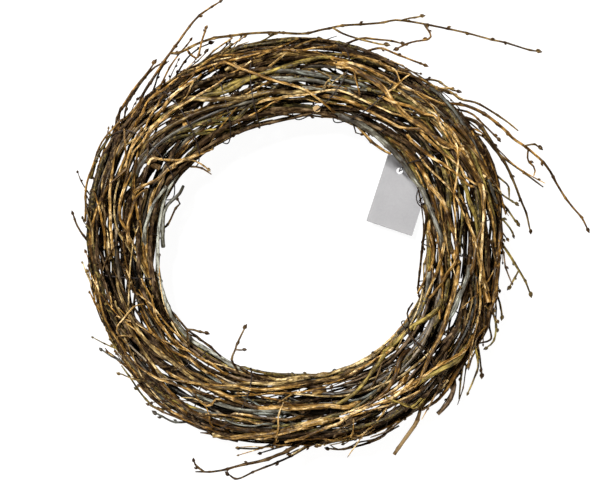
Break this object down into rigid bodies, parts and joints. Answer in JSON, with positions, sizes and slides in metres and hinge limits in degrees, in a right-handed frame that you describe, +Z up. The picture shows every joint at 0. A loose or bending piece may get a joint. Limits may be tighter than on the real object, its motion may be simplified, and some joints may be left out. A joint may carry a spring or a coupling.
{
  "type": "twig wreath",
  "caption": "Round wreath bundled from long natural twigs, bound with thin dark wire, with a blank card tag on the wire; a decoration to hang up or lay flat.",
  "frame": {"origin": "on the table the wreath lies on, below the middle of the whole outline, loose sprigs included", "axes": "+Z up from the table, out of the wreath's front face; +Y towards the top of the wreath as it would hang; +X to the right of it as seen from the front"},
  "size_m": [0.2524, 0.2338, 0.0349],
  "materials": {
    "dark_bark": "matte dark brown bark",
    "olive_bark": "matte olive bark",
    "golden_bark": "satin golden brown bark",
    "grey_bark": "matte grey-green bark",
    "wire": "dark annealed wire, satin",
    "card": "smooth white card"
  },
  "bodies": {
    "root": {"outer_branch_1": "golden_bark", "outer_branch_2": "olive_bark", "outer_branch_3": "dark_bark", "outer_branch_4": "grey_bark", "outer_branch_5": "dark_bark", "outer_branch_6": "golden_bark", "outer_branch_7": "olive_bark", "outer_branch_8": "dark_bark", "outer_branch_9": "grey_bark", "outer_branch_10": "dark_bark", "outer_branch_11": "golden_bark", "outer_branch_12": "olive_bark", "outer_branch_13": "dark_bark", "outer_branch_14": "grey_bark", "outer_branch_15": "dark_bark", "outer_branch_16": "golden_bark", "outer_branch_17": "olive_bark", "outer_branch_18": "dark_bark", "outer_branch_19": "grey_bark", "outer_branch_20": "dark_bark", "outer_branch_21": "golden_bark", "outer_branch_22": "olive_bark", "outer_branch_23": "dark_bark", "outer_branch_24": "grey_bark", "outer_branch_25": "dark_bark", "outer_branch_26": "golden_bark", "outer_branch_27": "olive_bark", "outer_branch_28": "dark_bark", "outer_branch_29": "grey_bark", "outer_branch_30": "dark_bark", "middle_branch_1": "golden_bark", "middle_branch_2": "olive_bark", "middle_branch_3": "dark_bark", "middle_branch_4": "grey_bark", "middle_branch_5": "dark_bark", "middle_branch_6": "golden_bark", "middle_branch_7": "olive_bark", "middle_branch_8": "dark_bark", "middle_branch_9": "grey_bark", "middle_branch_10": "dark_bark", "middle_branch_11": "golden_bark", "middle_branch_12": "olive_bark", "middle_branch_13": "dark_bark", "middle_branch_14": "grey_bark", "middle_branch_15": "dark_bark", "middle_branch_16": "golden_bark", "middle_branch_17": "olive_bark", "middle_branch_18": "dark_bark", "core_branch_1": "golden_bark", "core_branch_2": "olive_bark", "core_branch_3": "dark_bark", "core_branch_4": "grey_bark", "core_branch_5": "dark_bark", "core_branch_6": "golden_bark", "blank_tag": "card", "binding_wire": "wire"}
  },
  "joints": []
}
